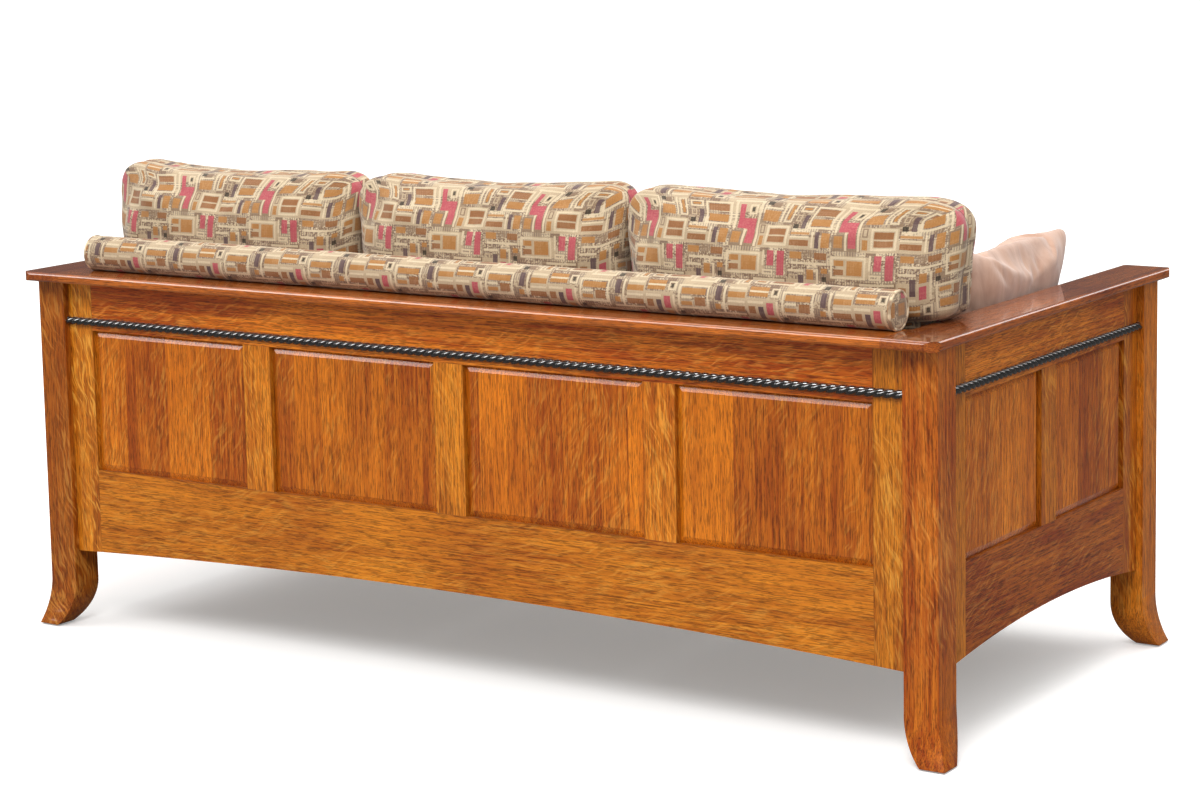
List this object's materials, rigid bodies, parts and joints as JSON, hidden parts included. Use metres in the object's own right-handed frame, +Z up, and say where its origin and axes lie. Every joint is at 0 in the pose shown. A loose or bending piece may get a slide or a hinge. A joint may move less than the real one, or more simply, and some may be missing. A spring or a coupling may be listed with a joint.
{
  "type": "panel back sofa",
  "caption": "Oak sofa with framed raised panels, black rope mouldings, wide cap boards and sabre feet; loose patterned seat and back cushions, a bolster roll and a throw pillow.",
  "frame": {"origin": "on the floor under the middle of the whole sofa", "axes": "+Z up, -Y the way the seat faces, +X the left hand of a person who sits on it"},
  "size_m": [1.996, 0.985, 0.906],
  "materials": {
    "oak_frame": "satin lacquer on stained quarter-sawn oak",
    "oak_panel": "satin lacquer on stained quarter-sawn oak",
    "oak_cap": "gloss lacquer on stained quarter-sawn oak",
    "inner_wood": "unfinished hardwood",
    "black_rope": "gloss black lacquer on carved rope moulding",
    "screw_steel": "zinc plated",
    "glide_nylon": "matte",
    "patterned_fabric": "woven upholstery with a pattern of rectangles and angular lines",
    "suede": "suede-like, gathered at the seams"
  },
  "bodies": {
    "frame": {"post_rear_left": "oak_frame", "post_rear_right": "oak_frame", "post_front_left": "oak_frame", "post_front_right": "oak_frame", "glides": "glide_nylon", "back_top_rail": "oak_frame", "back_bottom_rail": "oak_frame", "back_stile_left": "oak_frame", "back_stile_right": "oak_frame", "back_muntin_1": "oak_frame", "back_muntin_2": "oak_frame", "back_muntin_3": "oak_frame", "back_panel_1": "oak_panel", "back_panel_2": "oak_panel", "back_panel_3": "oak_panel", "back_panel_4": "oak_panel", "back_rope": "black_rope", "left_top_rail": "oak_frame", "left_bottom_rail": "oak_frame", "left_stile_rear": "oak_frame", "left_stile_front": "oak_frame", "left_muntin": "oak_frame", "left_panel_rear": "oak_panel", "left_panel_front": "oak_panel", "left_rope": "black_rope", "right_top_rail": "oak_frame", "right_bottom_rail": "oak_frame", "right_stile_rear": "oak_frame", "right_stile_front": "oak_frame", "right_muntin": "oak_frame", "right_panel_rear": "oak_panel", "right_panel_front": "oak_panel", "right_rope": "black_rope", "front_rail": "oak_frame", "back_cap": "oak_cap", "left_arm_cap": "oak_cap", "right_arm_cap": "oak_cap", "cap_cleat_back": "inner_wood", "cap_cleat_left": "inner_wood", "cap_cleat_right": "inner_wood", "cap_screws": "screw_steel", "dowels": "inner_wood", "seat_cleat_front": "inner_wood", "seat_cleat_back": "inner_wood", "seat_cleat_left": "inner_wood", "seat_cleat_right": "inner_wood", "middle_beam": "inner_wood", "seat_slats": "inner_wood", "slat_screws": "screw_steel", "back_roll": "patterned_fabric", "roll_core": "inner_wood", "roll_screws": "screw_steel"},
    "seat_cushion_left": {"seat_cushion_left": "patterned_fabric"},
    "seat_cushion_middle": {"seat_cushion_middle": "patterned_fabric"},
    "seat_cushion_right": {"seat_cushion_right": "patterned_fabric"},
    "back_cushion_left": {"back_cushion_left": "patterned_fabric"},
    "back_cushion_middle": {"back_cushion_middle": "patterned_fabric"},
    "back_cushion_right": {"back_cushion_right": "patterned_fabric"},
    "throw_pillow": {"throw_pillow": "suede"}
  },
  "joints": [
    {"name": "seat_left_lift", "type": "slide", "parent": "frame", "child": "seat_cushion_left", "axis": [0, 0, 1], "range_m": [0, 0.18]},
    {"name": "seat_middle_lift", "type": "slide", "parent": "frame", "child": "seat_cushion_middle", "axis": [0, 0, 1], "range_m": [0, 0.18]},
    {"name": "seat_right_lift", "type": "slide", "parent": "frame", "child": "seat_cushion_right", "axis": [0, 0, 1], "range_m": [0, 0.18]},
    {"name": "back_left_lift", "type": "slide", "parent": "seat_cushion_left", "child": "back_cushion_left", "axis": [0, 0, 1], "range_m": [0, 0.35]},
    {"name": "back_middle_lift", "type": "slide", "parent": "seat_cushion_middle", "child": "back_cushion_middle", "axis": [0, 0, 1], "range_m": [0, 0.35]},
    {"name": "back_right_lift", "type": "slide", "parent": "seat_cushion_right", "child": "back_cushion_right", "axis": [0, 0, 1], "range_m": [0, 0.35]},
    {"name": "pillow_lift", "type": "slide", "parent": "seat_cushion_right", "child": "throw_pillow", "axis": [0, 0, 1], "range_m": [0, 0.3]}
  ]
}
